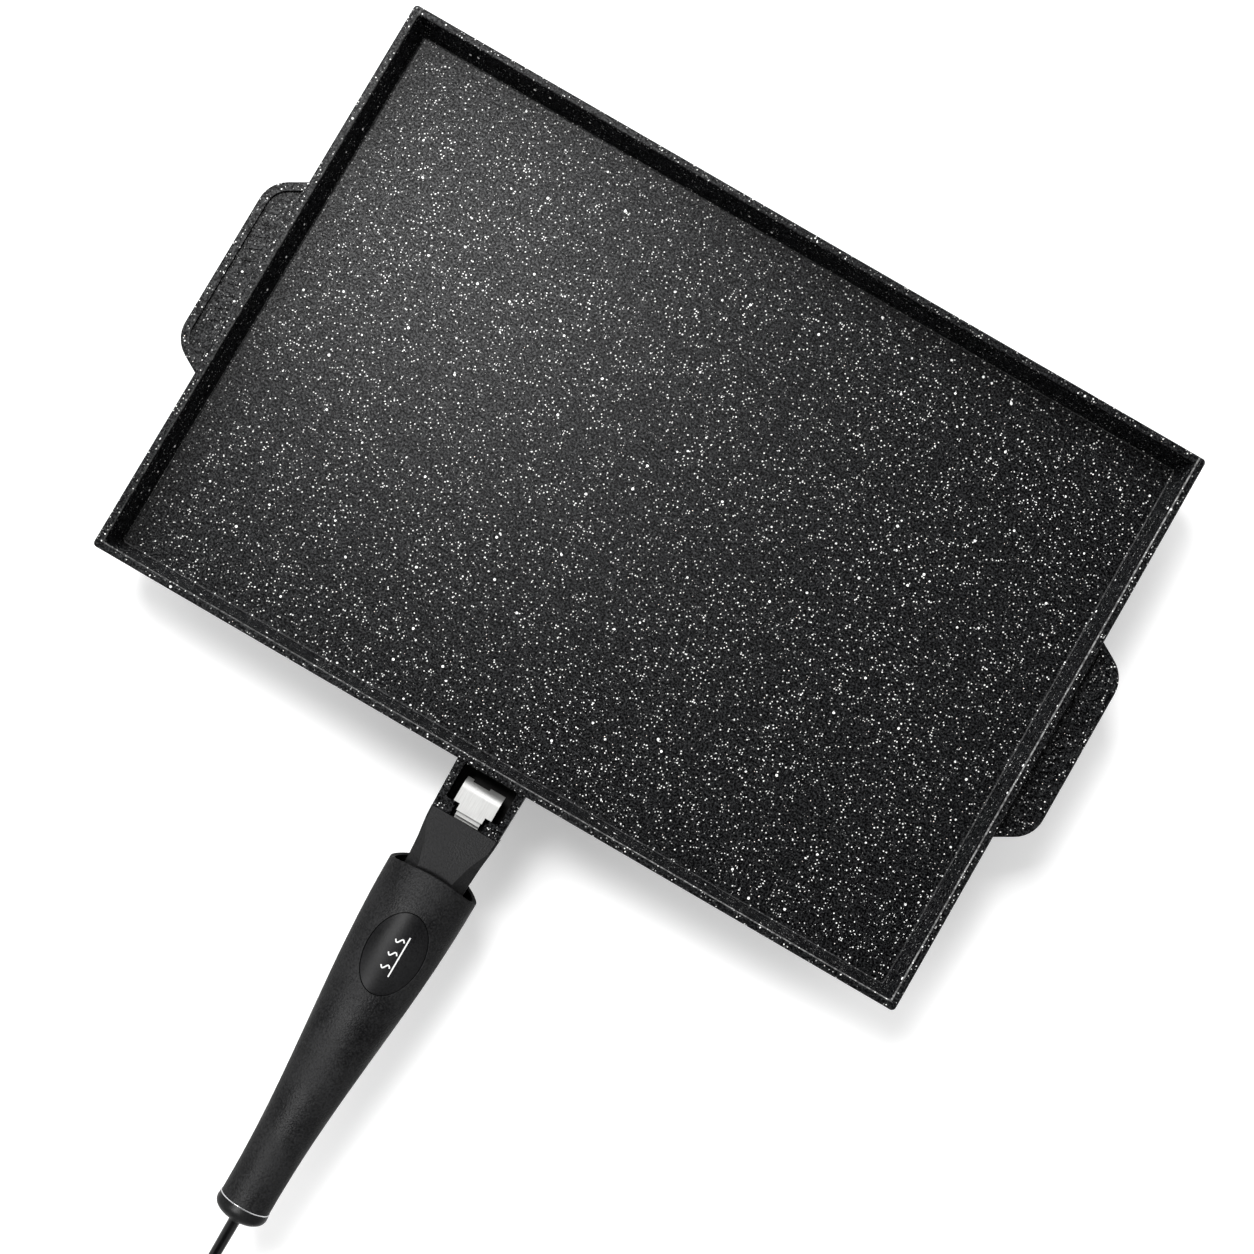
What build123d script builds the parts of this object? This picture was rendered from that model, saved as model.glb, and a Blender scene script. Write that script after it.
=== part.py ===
from build123d import *
from math import cos, pi, radians, tan
import os

# Electric griddle: a cast pan on a heated base, with a control handle that hooks into its front bracket.
# +Z is up and z = 0 is the surface under the feet. X runs along the pan, the handle points along -Y.

# Pan casting
pan_length = 410.0
pan_width = 282.5
rim_z = 50.0
pan_depth = 15.0
plate_thickness = 5.0
rim_land = 3.6
inner_draft = 4.0
outer_draft = 2.0
outer_corner = 2.0
inner_corner = 1.6
rim_edge = 0.7
floor_round = 0.8
floor_z = rim_z - pan_depth
underside_z = floor_z - plate_thickness
front_y = -pan_width / 2

# Side lugs, cast with the pan
lug_centre_y = -2.4
lug_base = 100.5
lug_tip = 82.0
lug_reach = 16.0
lug_root = 1.5
lug_top_z = rim_z - 2.4
lug_thickness = 8.6
lug_border = 4.0
lug_recess = 1.9
lug_corner = 15.0
lug_edge = 0.6
lug_rib_x = 6.4
lug_rib_count, lug_rib_pitch, lug_rib_height = 9, 6.2, 0.8

# Handle bracket, cast with the pan: a window with a slot in its front wall
bracket_top_z = rim_z - 0.7
bracket_bottom_z = 24.0
bracket_half_back = 17.5
bracket_half_front = 16.8
bracket_front_y = -164.5
window_half = 13.5
window_corner = 1.2
window_back_y = front_y - 0.15
window_front_y = -158.5
slot_half = 8.0
slot_floor_z = 34.0
cheek_step = 0.9
hood_screw_places = [(-12, -161.5), (12, -161.5)]

# Base under the pan
cover_length = 384.0
cover_width = 256.0
cover_bottom_z = 12.0
sheet = 1.2
vent_pitch, vent_width = 15.0, 3.4
foot_x, foot_y = 175.0, 112.0
foot_radius, foot_height = 14.0, 12.0
middle_boss_x = 70.0
boss_radius = 5.0
thread_radius = 1.75
clamp_boss_x, clamp_boss_y = 115.0, 50.0
cutout_y, cutout_tab_x = -62.0, 5.0

# Heating element: one bent sheathed tube, pressed up against the plate
element_radius = 3.25
element_z = underside_z - element_radius - 0.05
element_bend = 20.0
element_outer_x, element_outer_y = 166.0, 88.0
element_inner_x, element_inner_y = 60.0, -35.0
cold_end_x, cold_end_y = 11.0, -122.0
clamp_plate_z = element_z - element_radius - 0.05 - 2.0

# Control handle
grip_axis_z = 36.5
mouth_y = -194.0
mouth_half_width, mouth_half_height = 22.1, 16.5
end_radius = 11.95
grip_taper = 160.0
grip_wall = 2.1
edge_round = 0.5
sleeve_end_y = -357.8
ring_thickness = 0.6
cap_length = 7.8
cap_spigot = 9.8
cap_end_y = sleeve_end_y - ring_thickness - cap_length

# Lock collar
collar_front_y = bracket_front_y - 0.3
collar_tail_y = -200.0
collar_travel = 8.0
collar_half_height = 12.0
bore_half_width, bore_low, bore_high = 10.0, -6.8, 7.0
rod_x = 12.5
rod_radius = 1.2
rod_front_y = -189.0
bulkhead_y, ear_y = -262.0, -222.0
rivet_places = [(0, -180), (0, -188)]

# Hook and contacts
hook_sheet = 2.0
hook_top_z = 47.0
hook_half = 9.6
tail_half, tail_top = 6.0, 6.5
pin_x, pin_y = 5.0, -154.2
pin_radius = 1.6
pin_top_z = 42.0

# Push button
button_x, button_y = 2.0, -229.3
button_half_long, button_half_wide = 19.4, 12.9
button_gap = 0.3
button_travel = 1.5
board_thickness, switch_height, plunger_height = 1.6, 3.3, 0.4

# Mains cord, its clamp and its strain relief
cord_diameter = 4.8
cord_clamp_places = [(-6.2, -341), (6.2, -341)]
relief_flange_y = -345.0
relief_end_y = cap_end_y - 20.0
coil_x, coil_y = 92.0, -438.0
coil_mean_radius = 5.5 * cord_diameter
turns_wide, turns_high = 3, 2

lowest = (Align.CENTER, Align.CENTER, Align.MIN)
highest = (Align.CENTER, Align.CENTER, Align.MAX)


def handle_plane(y, rise=0.0):
    """Plane across the handle at y: local x is X, local y is Z, and its normal points out along -Y."""
    return Plane(origin=(0, y, grip_axis_z + rise), x_dir=(1, 0, 0), z_dir=(0, -1, 0))


def grip_oval(y, inset=0.0):
    """Half width and half height of the grip's oval at y; both shrink along half a cosine wave."""
    share = min(max((mouth_y - y) / grip_taper, 0.0), 1.0)
    fullness = (1 + cos(pi * share)) / 2
    half_width = end_radius + (mouth_half_width - end_radius) * fullness - inset
    half_height = end_radius + (mouth_half_height - end_radius) * fullness - inset
    return half_width, half_height


def grip_core(inset, start_y=-184.0, stop_y=sleeve_end_y, stations=12):
    """Solid with the grip's tapered oval shape, drawn in by inset."""
    with BuildPart() as core:
        for i in range(stations):
            y = start_y + (stop_y - start_y) * i / (stations - 1)
            with BuildSketch(handle_plane(y)):
                Ellipse(*grip_oval(y, inset))
        loft()
    return core.part


def block(x, y, z):
    """Box between two limits on each axis."""
    with BuildPart() as made:
        with BuildSketch(Plane.XY.offset(z[0])):
            with Locations(((x[0] + x[1]) / 2, (y[0] + y[1]) / 2)):
                Rectangle(x[1] - x[0], y[1] - y[0])
        extrude(amount=z[1] - z[0])
    return made.part


def screw_set(places, head_z, head, shank):
    """Screws that point up, each with a head and a shank given as (radius, length), and a cross recess."""
    with BuildPart() as made:
        with Locations(*[(x, y, head_z) for x, y in places]):
            Cylinder(head[0], head[1], align=lowest)
            Box(head[0] * 1.2, 0.8, 0.9, align=lowest, mode=Mode.SUBTRACT)
            Box(0.8, head[0] * 1.2, 0.9, align=lowest, mode=Mode.SUBTRACT)
        with Locations(*[(x, y, head_z + head[1]) for x, y in places]):
            Cylinder(shank[0], shank[1], align=lowest)
    return made.part


def wire(points, bend, radius):
    """Round wire along straight runs with tangent bends."""
    with BuildPart() as made:
        with BuildLine() as path:
            FilletPolyline(*points, radius=bend)
        with BuildSketch(Plane(origin=path.line @ 0, z_dir=path.line % 0)):
            Circle(radius)
        sweep()
    return made.part


corner_places = [(sx * foot_x, sy * foot_y) for sx in (-1, 1) for sy in (-1, 1)]
middle_places = [(sx * middle_boss_x, sy * foot_y) for sx in (-1, 1) for sy in (-1, 1)]
board_z = grip_axis_z + 1.95
board_top_z = board_z + board_thickness
switch_top_z = board_top_z + switch_height + plunger_height
clamp_places = [(sx * clamp_boss_x, sy * clamp_boss_y) for sx in (-1, 1) for sy in (-1, 1)]

# ---- Griddle pan -------------------------------------------------------------------------------
def lug_plane(side, z):
    """Level plane on one short side: local x runs outwards from the pan's wall."""
    return Plane(origin=(side * pan_length / 2, lug_centre_y, z), x_dir=(side, 0, 0))


def lug_outline(start_x, inset):
    """Corners of a lug, from start_x beside the wall round its tip and back, set in from its edge."""
    rise = (lug_base - lug_tip) / 2
    slant = (rise**2 + lug_reach**2) ** 0.5 / lug_reach
    corners = []
    for x in (start_x, lug_reach - inset):
        corners.append((x, lug_base / 2 - inset * slant - x * rise / lug_reach))
    return [(x, -y) for x, y in corners] + corners[::-1]


with BuildPart() as griddle_pan:
    # Outer shape, drafted in towards its underside
    with BuildSketch(Plane.XY.offset(rim_z)):
        RectangleRounded(pan_length, pan_width, outer_corner)
    with BuildSketch(Plane.XY.offset(underside_z)):
        RectangleRounded(pan_length - 2 * outer_draft, pan_width - 2 * outer_draft, outer_corner)
    loft(ruled=True)
    # Cooking space
    with BuildSketch(Plane.XY.offset(rim_z)):
        RectangleRounded(pan_length - 2 * rim_land, pan_width - 2 * rim_land, inner_corner)
    with BuildSketch(Plane.XY.offset(floor_z)):
        floor_inset = rim_land + inner_draft
        RectangleRounded(pan_length - 2 * floor_inset, pan_width - 2 * floor_inset, inner_corner)
    loft(ruled=True, mode=Mode.SUBTRACT)
    fillet(griddle_pan.edges().group_by(Axis.Z)[-1], rim_edge)
    fillet(griddle_pan.faces().filter_by(Axis.Z).sort_by(Axis.Z)[-2].outer_wire().edges(), floor_round)

    # Lugs on the short sides, each with a raised border round a sunk panel
    for side in (-1, 1):
        outline = lug_outline(-lug_root, 0)
        with BuildSketch(lug_plane(side, lug_top_z - lug_thickness)):
            with BuildLine():
                FilletPolyline(*outline, radius=lug_corner)
                Line(outline[-1], outline[0])
            make_face()
        extrude(amount=lug_thickness)
        lug_edges = griddle_pan.edges().filter_by_position(Axis.Z, lug_top_z - 0.1, lug_top_z + 0.1)
        fillet(lug_edges.filter_by(lambda edge: side * edge.center().X > pan_length / 2 + 2), lug_edge)
        panel = lug_outline(0.8, lug_border)
        with BuildSketch(lug_plane(side, lug_top_z - lug_recess)):
            with BuildLine():
                FilletPolyline(*panel, radius=lug_corner - lug_border)
                Line(panel[-1], panel[0])
            make_face()
        extrude(amount=lug_recess + 1, mode=Mode.SUBTRACT)
        # Low slanted ribs for grip
        with BuildSketch(lug_plane(side, lug_top_z - lug_recess)):
            with Locations((lug_rib_x, 0)):
                with GridLocations(0, lug_rib_pitch, 1, lug_rib_count):
                    SlotOverall(6.6, 1.3, rotation=24)
        extrude(amount=lug_rib_height)

    # Bracket
    with BuildSketch(Plane.XY.offset(bracket_bottom_z)):
        with BuildLine():
            Polyline(
                (-bracket_half_back, front_y + outer_draft + 0.4),
                (-bracket_half_front, bracket_front_y),
                (bracket_half_front, bracket_front_y),
                (bracket_half_back, front_y + outer_draft + 0.4),
                close=True,
            )
        make_face()
    extrude(amount=bracket_top_z - bracket_bottom_z)
    window_long = window_back_y - window_front_y
    with BuildSketch(Plane.XY.offset(bracket_bottom_z)):
        with Locations((0, window_back_y - window_long / 2)):
            RectangleRounded(2 * window_half, window_long, window_corner)
    extrude(amount=rim_z, mode=Mode.SUBTRACT)
    # Stepped slot: a shallow relief at the window side of each cheek
    add(block((-slot_half, slot_half), (bracket_front_y - 1, window_front_y + 1), (slot_floor_z, rim_z)),
        mode=Mode.SUBTRACT)
    add(block((-slot_half - 0.9, slot_half + 0.9), (window_front_y - 1.6, window_front_y + 1),
              (slot_floor_z, rim_z)), mode=Mode.SUBTRACT)
    # Cheeks beside the slot, a little lower than the rest
    add(block((-bracket_half_back, bracket_half_back), (bracket_front_y - 1, window_front_y - 1.6),
              (bracket_top_z - cheek_step, rim_z)), mode=Mode.SUBTRACT)
    # Threaded holes for the terminal hood
    with Locations(*[(x, y, bracket_bottom_z) for x, y in hood_screw_places]):
        Cylinder(1.3, 7, align=lowest, mode=Mode.SUBTRACT)

    # Screw bosses under the plate
    with Locations(*[(x, y, underside_z + 0.5) for x, y in corner_places + middle_places]):
        Cylinder(boss_radius, underside_z + 0.5 - cover_bottom_z - sheet, align=highest)
    with Locations(*[(x, y, cover_bottom_z + sheet) for x, y in corner_places + middle_places]):
        Cylinder(thread_radius, 13, align=lowest, mode=Mode.SUBTRACT)
    with Locations(*[(x, y, underside_z + 0.5) for x, y in clamp_places]):
        Cylinder(boss_radius, underside_z + 0.5 - clamp_plate_z - 2.0, align=highest)
    with Locations(*[(x, y, clamp_plate_z + 2.0) for x, y in clamp_places]):
        Cylinder(thread_radius, 7, align=lowest, mode=Mode.SUBTRACT)
griddle_pan.part.label = "griddle_pan"

# ---- Heated base -------------------------------------------------------------------------------
with BuildPart() as heating_element:
    half_route = [
        (cold_end_x, cold_end_y),
        (cold_end_x, -element_outer_y),
        (element_outer_x, -element_outer_y),
        (element_outer_x, element_outer_y),
        (element_inner_x, element_outer_y),
        (element_inner_x, element_inner_y),
    ]
    route = half_route + [(-x, y) for x, y in reversed(half_route)]
    with BuildLine() as element_path:
        FilletPolyline(*[(x, y, element_z) for x, y in route], radius=element_bend)
    with BuildSketch(Plane(origin=element_path.line @ 0, z_dir=element_path.line % 0)):
        Circle(element_radius)
    sweep()
    # Terminal studs in the cold ends
    for side in (-1, 1):
        with BuildSketch(Plane(origin=(side * cold_end_x, cold_end_y, element_z), z_dir=(0, -1, 0))):
            Circle(1.2)
        extrude(amount=7)
heating_element.part.label = "heating_element"

with BuildPart() as end_seals:
    for side in (-1, 1):
        with BuildSketch(Plane(origin=(side * cold_end_x, cold_end_y, element_z), z_dir=(0, -1, 0))):
            Circle(3.0)
            Circle(1.25, mode=Mode.SUBTRACT)
        extrude(amount=3)
end_seals.part.label = "end_seals"

with BuildPart() as clamp_plate:
    with BuildSketch(Plane.XY.offset(clamp_plate_z)):
        RectangleRounded(356, 196, 14)
        with Locations((0, cutout_y)):
            Circle(13, mode=Mode.SUBTRACT)
        with Locations((0, -97)):
            Rectangle(40, 24, mode=Mode.SUBTRACT)
        with Locations(*clamp_places):
            Circle(thread_radius + 0.25, mode=Mode.SUBTRACT)
        with GridLocations(228, 0, 2, 1):
            SlotOverall(60, 12, mode=Mode.SUBTRACT)
    extrude(amount=2)
clamp_plate.part.label = "clamp_plate"

with BuildPart() as clamp_screws:
    add(screw_set(clamp_places, clamp_plate_z - 2.2, (3.5, 2.2), (thread_radius - 0.05, 8)))
clamp_screws.part.label = "clamp_screws"

with BuildPart() as thermal_cutout:
    with BuildSketch(Plane.XY.offset(underside_z - 0.05)):
        with Locations((0, cutout_y)):
            Circle(8.2)
    extrude(amount=-7.4)
    with BuildSketch(Plane.XY.offset(underside_z - 0.05)):
        with Locations((0, cutout_y)):
            SlotOverall(23.6, 8)
    extrude(amount=-0.8)
    with Locations(*[(side * cutout_tab_x, cutout_y, underside_z - 7.4) for side in (-1, 1)]):
        Box(0.8, 5, 6, align=highest)
thermal_cutout.part.label = "thermal_cutout"

with BuildPart() as base_cover:
    with BuildSketch(Plane.XY.offset(cover_bottom_z)):
        RectangleRounded(cover_length, cover_width, 14)
    extrude(amount=underside_z - 0.1 - cover_bottom_z)
    fillet(base_cover.edges().group_by(Axis.Z)[0], 3.5)
    offset(amount=-sheet, openings=base_cover.faces().sort_by(Axis.Z)[-1])
    # Way out for the leads, in the middle of the front wall
    add(block((-15, 15), (-cover_width / 2 - 1, -cover_width / 2 + 4), (14.4, underside_z + 1)),
        mode=Mode.SUBTRACT)
    # Screw holes and rows of vents
    with BuildSketch(Plane.XY.offset(cover_bottom_z - 1)):
        with Locations(*(corner_places + middle_places)):
            Circle(thread_radius + 0.35)
        with GridLocations(vent_pitch, 150, 17, 2):
            SlotOverall(26, vent_width, rotation=90)
        with GridLocations(vent_pitch, 0, 17, 1):
            SlotOverall(40, vent_width, rotation=90)
    extrude(amount=3, mode=Mode.SUBTRACT)
base_cover.part.label = "base_cover"

feet = []
foot_names = {(-1, -1): "front_left_foot", (1, -1): "front_right_foot",
              (-1, 1): "rear_left_foot", (1, 1): "rear_right_foot"}
for (sx, sy), foot_name in foot_names.items():
    with BuildPart() as foot:
        with BuildSketch():
            with Locations((sx * foot_x, sy * foot_y)):
                Circle(foot_radius - 1.6)
        with BuildSketch(Plane.XY.offset(foot_height)):
            with Locations((sx * foot_x, sy * foot_y)):
                Circle(foot_radius)
        loft()
        fillet(foot.edges().group_by(Axis.Z)[0], 1.2)
        with Locations((sx * foot_x, sy * foot_y, 0)):
            Cylinder(4.6, 7, align=lowest, mode=Mode.SUBTRACT)
            Cylinder(2.1, foot_height, align=lowest, mode=Mode.SUBTRACT)
    foot.part.label = foot_name
    feet.append(foot)

with BuildPart() as foot_screws:
    add(screw_set(corner_places, 4.4, (3.6, 2.6), (thread_radius - 0.05, 17)))
foot_screws.part.label = "foot_screws"

with BuildPart() as base_screws:
    add(screw_set(middle_places, cover_bottom_z - 2.0, (3.6, 2.0), (thread_radius - 0.05, 12)))
base_screws.part.label = "base_screws"

# ---- Electrical socket under the bracket --------------------------------------------------------
with BuildPart() as terminal_block:
    window_middle_y = (window_back_y + window_front_y) / 2
    with BuildSketch(Plane.XY.offset(bracket_bottom_z)):
        with Locations((0, window_middle_y)):
            RectangleRounded(2 * window_half - 0.4, window_long - 0.4, window_corner)
    extrude(amount=9)
    with BuildSketch(Plane.XY.offset(bracket_bottom_z)):
        with Locations((0, window_middle_y)):
            RectangleRounded(29, 17.4, 2)
    extrude(amount=-2.8)
    with Locations((-pin_x, pin_y, 20), (pin_x, pin_y, 20)):
        Cylinder(pin_radius + 0.05, 20, align=lowest, mode=Mode.SUBTRACT)
    # Raised barrier between the two pins
    with Locations((0, pin_y, bracket_bottom_z + 9)):
        Box(1.2, 7, 1.0, align=lowest)
terminal_block.part.label = "terminal_block"

contact_pins = []
for side, pin_name in ((-1, "contact_pin_left"), (1, "contact_pin_right")):
    with BuildPart() as contact_pin:
        with Locations((side * pin_x, pin_y, 17.6)):
            Cylinder(pin_radius, pin_top_z - 17.6, align=lowest)
        fillet(contact_pin.edges().group_by(Axis.Z)[-1], 1.2)
        with Locations((side * pin_x, pin_y, 19.4)):
            Cylinder(2.6, 1.75, align=lowest)
    contact_pin.part.label = pin_name
    contact_pins.append(contact_pin)

with BuildPart() as terminal_hood:
    # Deep front part under the bracket, shallow back part under the plate
    add(block((-16.4, 16.4), (-164.2, -129.4), (13.2, bracket_bottom_z - 0.05)))
    add(block((-16.4, 16.4), (-138.6, -129.4), (bracket_bottom_z - 1, underside_z - 0.1)))
    add(block((-15.0, 15.0), (-162.8, -128.0), (14.6, underside_z)), mode=Mode.SUBTRACT)
    with Locations(*[(x, y, 13.2) for x, y in hood_screw_places]):
        Cylinder(2.7, bracket_bottom_z - 0.05 - 13.2, align=lowest)
    with Locations(*[(x, y, 13.2) for x, y in hood_screw_places]):
        Cylinder(1.6, 12, align=lowest, mode=Mode.SUBTRACT)
terminal_hood.part.label = "terminal_hood"

with BuildPart() as hood_screws:
    add(screw_set(hood_screw_places, 11.4, (2.5, 1.8), (1.25, 17)))
hood_screws.part.label = "hood_screws"

with BuildPart() as supply_lead:
    add(wire([(-pin_x, pin_y + 3.0, 16.1), (-pin_x, pin_y + 14, 16.2), (3, -118, 18.2),
              (cutout_tab_x, -92, 18.0), (cutout_tab_x, cutout_y - 5.5, 17.6)], 5, 1.2))
supply_lead.part.label = "supply_lead"

with BuildPart() as link_lead:
    add(wire([(-cutout_tab_x, cutout_y - 5.5, 17.6), (-5.5, -88, 17.8), (-10, -108, 18.4),
              (-cold_end_x, -119, 20.2), (-cold_end_x, -131.5, 22.4)], 5, 1.2))
link_lead.part.label = "link_lead"

with BuildPart() as return_lead:
    add(wire([(cold_end_x, -130.6, element_z - 0.6), (10.5, -137, 20.2), (7, -145.5, 16.4),
              (pin_x, pin_y + 3, 16.1)], 4, 1.2))
return_lead.part.label = "return_lead"

# ---- Handle frame ------------------------------------------------------------------------------
tongue_half = 9.7
with BuildPart() as handle_chassis:
    # Tongue that the collar slides on, then a lower bed for the board
    add(block((-tongue_half, tongue_half), (-214, -166.5), (grip_axis_z - 6.5, grip_axis_z + 4.4)))
    add(block((-tongue_half, tongue_half), (bulkhead_y, -213), (grip_axis_z - 6.5, grip_axis_z + 1.9)))
    # Ears behind the springs
    add(block((-15.0, 15.0), (ear_y - 4, ear_y), (grip_axis_z - 4, grip_axis_z + 1.9)))
    # Oval bulkhead that fills the sleeve
    with BuildSketch(handle_plane(bulkhead_y)):
        Ellipse(*grip_oval(bulkhead_y - 4, grip_wall + 0.15))
    extrude(amount=4)
    # Spine back to the cord entry
    add(block((-5.5, 5.5), (-336, -265), (grip_axis_z - 7, grip_axis_z - 3.4)))
    with BuildSketch(handle_plane(-334)):
        Circle(9.55)
    extrude(amount=13.4)
    # Trough for the cord, open at the top
    for half_width, start_y, length in ((3.15, -333, 15), (4.3, relief_flange_y + 0.4, 2.8)):
        add(block((-half_width, half_width), (start_y - length, start_y), (grip_axis_z, grip_axis_z + 10)),
            mode=Mode.SUBTRACT)
        with BuildSketch(handle_plane(start_y)):
            Circle(half_width)
        extrude(amount=length, mode=Mode.SUBTRACT)
    add(block((-9, 9), (-346.5, -335.5), (grip_axis_z + 3.6, grip_axis_z + 10)), mode=Mode.SUBTRACT)
    # Mortise for the contact block, grooves for its wires, and a slot where they rise to the board
    add(block((-5.1, 5.1), (-174.7, -166), (grip_axis_z - 4.6, grip_axis_z + 1.6)), mode=Mode.SUBTRACT)
    for side in (-1, 1):
        pocket, groove = sorted((side * 4.4, side * 10)), sorted((side * 6.0, side * 9.0))
        add(block(pocket, (-173.5, -166), (grip_axis_z - 7, grip_axis_z + 2.2)), mode=Mode.SUBTRACT)
        add(block(groove, (-249, -166), (grip_axis_z - 7, grip_axis_z - 3.4)), mode=Mode.SUBTRACT)
        add(block(groove, (-253, -245), (grip_axis_z - 7, grip_axis_z + 2)), mode=Mode.SUBTRACT)
    with Locations(handle_plane(bulkhead_y)):
        with Locations((-4, 6.4), (4, 6.4)):
            Cylinder(1.6, 12, mode=Mode.SUBTRACT)
    # Holes for the guide rods, the hook rivets and the clamp screws
    with Locations(handle_plane(ear_y)):
        with Locations((-rod_x, 0), (rod_x, 0)):
            Cylinder(rod_radius + 0.02, 3.0, align=lowest, mode=Mode.SUBTRACT)
    with Locations(*[(x, y, grip_axis_z + 4.4) for x, y in rivet_places]):
        Cylinder(1.25, 5, align=highest, mode=Mode.SUBTRACT)
    with Locations(*[(x, y, grip_axis_z + 3.6) for x, y in cord_clamp_places]):
        Cylinder(0.95, 5.5, align=highest, mode=Mode.SUBTRACT)
handle_chassis.part.label = "handle_chassis"

with BuildPart() as latch_hook:
    # Wide head: a flat top that bends down at its far edge
    head_back_y = window_front_y + 0.25
    with BuildSketch(Plane.YZ.offset(-hook_half)):
        with BuildLine():
            FilletPolyline(
                (head_back_y, hook_top_z - hook_sheet / 2),
                (-149.4, hook_top_z - hook_sheet / 2),
                (-147.1, hook_top_z - 6.6),
                radius=3.2,
            )
        trace(line_width=hook_sheet)
    extrude(amount=2 * hook_half)
    # Notch in the bent edge, off centre
    add(block((-6.4, 2.0), (-150.0, -140.0), (30, hook_top_z - 3.6)), mode=Mode.SUBTRACT)
    # Stem through the slot, then a narrower tail one sheet lower, which runs back over the tongue
    add(block((-6.5, 6.5), (-161.4, head_back_y + 0.5), (hook_top_z - hook_sheet, hook_top_z)))
    tail_z = grip_axis_z + tail_top
    bend_top_z = hook_top_z - hook_sheet + 0.6
    add(block((-tail_half, tail_half), (-163.4, -160.2), (tail_z - hook_sheet, bend_top_z)))
    add(block((-tail_half, tail_half), (-192, -162.0), (tail_z - hook_sheet, tail_z)))
    with Locations(*[(x, y, tail_z) for x, y in rivet_places]):
        Cylinder(1.25, hook_sheet, align=highest, mode=Mode.SUBTRACT)
latch_hook.part.label = "latch_hook"

with BuildPart() as hook_rivets:
    with Locations(*[(x, y, tail_z) for x, y in rivet_places]):
        Cylinder(1.2, hook_sheet + 4.8, align=highest)
        Cylinder(2.0, 0.4, align=lowest)
hook_rivets.part.label = "hook_rivets"

with BuildPart() as contact_block:
    # Block under the hook's head, a nose back through the slot, and a tenon in the tongue
    add(block((-8.6, 8.6), (-158.0, -151.4), (34.6, hook_top_z - hook_sheet - 0.05)))
    add(block((-7.5, 7.5), (-166.4, -157.0), (34.6, grip_axis_z + 4.4)))
    add(block((-5.0, 5.0), (-174.4, -166.0), (grip_axis_z - 1.8, grip_axis_z + 1.5)))
    fillet(contact_block.edges().filter_by(Axis.Z).group_by(Axis.Y)[-1], 1.0)
    with Locations((-pin_x, pin_y, 34), (pin_x, pin_y, 34)):
        Cylinder(2.3, 9.4, align=lowest, mode=Mode.SUBTRACT)
    # Ways for the two wires
    for side in (-1, 1):
        with BuildSketch(handle_plane(-155)):
            with Locations((side * 6.0, 0.6)):
                Circle(1.2)
        extrude(amount=15, mode=Mode.SUBTRACT)
contact_block.part.label = "contact_block"

with BuildPart() as contact_sleeves:
    for side in (-1, 1):
        with BuildSketch(Plane.XY.offset(35.2)):
            with Locations((side * pin_x, pin_y)):
                Circle(2.2)
                Circle(pin_radius + 0.08, mode=Mode.SUBTRACT)
                with Locations((0, 2)):
                    Rectangle(0.7, 2.4, mode=Mode.SUBTRACT)
        extrude(amount=8)
contact_sleeves.part.label = "contact_sleeves"

with BuildPart() as output_wires:
    for side in (-1, 1):
        add(wire([(side * 6.0, -158.4, grip_axis_z + 0.6), (side * 6.0, -169.0, grip_axis_z + 0.6),
                  (side * 7.5, -171.6, grip_axis_z - 5.2), (side * 7.5, -249.5, grip_axis_z - 5.2),
                  (side * 7.5, -249.5, grip_axis_z + 1.8)], 2.4, 1.05))
output_wires.part.label = "output_wires"

with BuildPart() as guide_rods:
    for side in (-1, 1):
        with BuildSketch(handle_plane(rod_front_y)):
            with Locations((side * rod_x, 0)):
                Circle(rod_radius)
        extrude(amount=rod_front_y - ear_y + 2.8)
guide_rods.part.label = "guide_rods"

spring_length = collar_tail_y - ear_y - 2.0
collar_springs = []
for side, spring_name in ((-1, "collar_spring_left"), (1, "collar_spring_right")):
    with BuildPart() as collar_spring:
        with BuildLine() as spring_path:
            spring_start = (side * rod_x, collar_tail_y - 1.0, grip_axis_z)
            Helix(2.5, spring_length, 1.9, center=spring_start, direction=(0, -1, 0))
        with BuildSketch(Plane(origin=spring_path.line @ 0, z_dir=spring_path.line % 0)):
            Circle(0.35)
        sweep(is_frenet=True)
    collar_spring.part.label = spring_name
    collar_springs.append(collar_spring)

# ---- Lock collar -------------------------------------------------------------------------------
# Octagons across the handle as (y, half width, half width of the flat top, height of the shoulder)
collar_front = (collar_front_y, 17.0, 16.0, 11.0)
collar_knee = (-171.0, 16.6, 15.7, 10.8)
collar_scoop = (-180.0, 15.6, 11.6, 7.0)
collar_neck = (-190.0, 15.0, 8.8, 4.2)
collar_tail = (collar_tail_y, 15.0, 8.8, 4.2)
with BuildPart() as lock_collar:
    for pair in ((collar_front, collar_knee), (collar_knee, collar_scoop), (collar_scoop, collar_neck),
                 (collar_neck, collar_tail)):
        for y, half_width, top_half, shoulder in pair:
            corners = [(top_half, collar_half_height), (half_width, shoulder)]
            corners += [(x, -z) for x, z in reversed(corners)]
            with BuildSketch(handle_plane(y)):
                with BuildLine():
                    Polyline(*corners, *[(-x, z) for x, z in reversed(corners)], close=True)
                make_face()
        loft(ruled=True)
    # Bore over the tongue, and blind holes for the guide rods
    with BuildSketch(handle_plane(collar_front_y + 1)):
        with Locations((0, (bore_low + bore_high) / 2)):
            Rectangle(2 * bore_half_width, bore_high - bore_low)
    extrude(amount=60, mode=Mode.SUBTRACT)
    with BuildSketch(handle_plane(rod_front_y + collar_travel + 1.5)):
        with Locations((-rod_x, 0), (rod_x, 0)):
            Circle(rod_radius + 0.1)
    extrude(amount=30, mode=Mode.SUBTRACT)
lock_collar.part.label = "lock_collar"

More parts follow.
